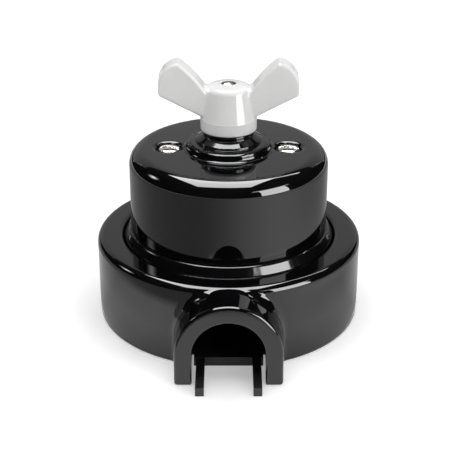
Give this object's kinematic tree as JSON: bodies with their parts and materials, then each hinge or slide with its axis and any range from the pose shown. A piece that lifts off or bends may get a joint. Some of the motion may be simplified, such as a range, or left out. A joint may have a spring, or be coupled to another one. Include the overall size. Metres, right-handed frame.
{
  "type": "rotary two-way switch",
  "caption": "Round black porcelain surface switch with a white butterfly knob, on a round porcelain conduit base with one arched conduit entry.",
  "frame": {"origin": "on the knob's axis, in the plane of the wall that the back plate lies on", "axes": "+Z out of the wall along the knob's axis, -Y along the conduit entry, +X to the right when the entry is at the bottom"},
  "size_m": [0.0916, 0.1086, 0.0902],
  "materials": {
    "black_glaze": "high gloss black glaze",
    "white_glaze": "high gloss white glaze",
    "black_plastic": "satin moulded",
    "nickel": "bright nickel plate",
    "steel": "zinc plated",
    "brass": "turned",
    "bronze": "rolled bronze strip",
    "phenolic": "moulded phenolic"
  },
  "bodies": {
    "housing": {"conduit_base": "black_glaze", "back_plate": "black_plastic", "switch_base": "black_glaze", "cover": "black_glaze", "cover_screws": "nickel", "base_screws": "steel", "pillars": "brass", "pillar_screws": "steel", "block_screws": "steel", "bridge": "steel", "spindle_bush": "brass", "detent_spring_front": "steel", "detent_spring_back": "steel", "terminal_way_1": "brass", "terminal_way_2": "brass", "terminal_common": "brass", "terminal_screws": "steel", "finger_way_1": "bronze", "finger_way_2": "bronze", "finger_common": "bronze"},
    "knob_body": {"knob": "white_glaze", "knob_screw": "nickel", "spindle": "steel", "contact_drum": "phenolic", "contact_ring": "brass", "detent_cam": "steel", "thrust_washer": "brass", "retaining_ring": "steel"}
  },
  "joints": [
    {"name": "knob_turn", "type": "hinge", "parent": "housing", "child": "knob_body", "pos_m": [0, 0, 0.0664], "axis": [0, 0, 1], "continuous": true, "deforming": ["detent_spring_front", "detent_spring_back"]}
  ]
}
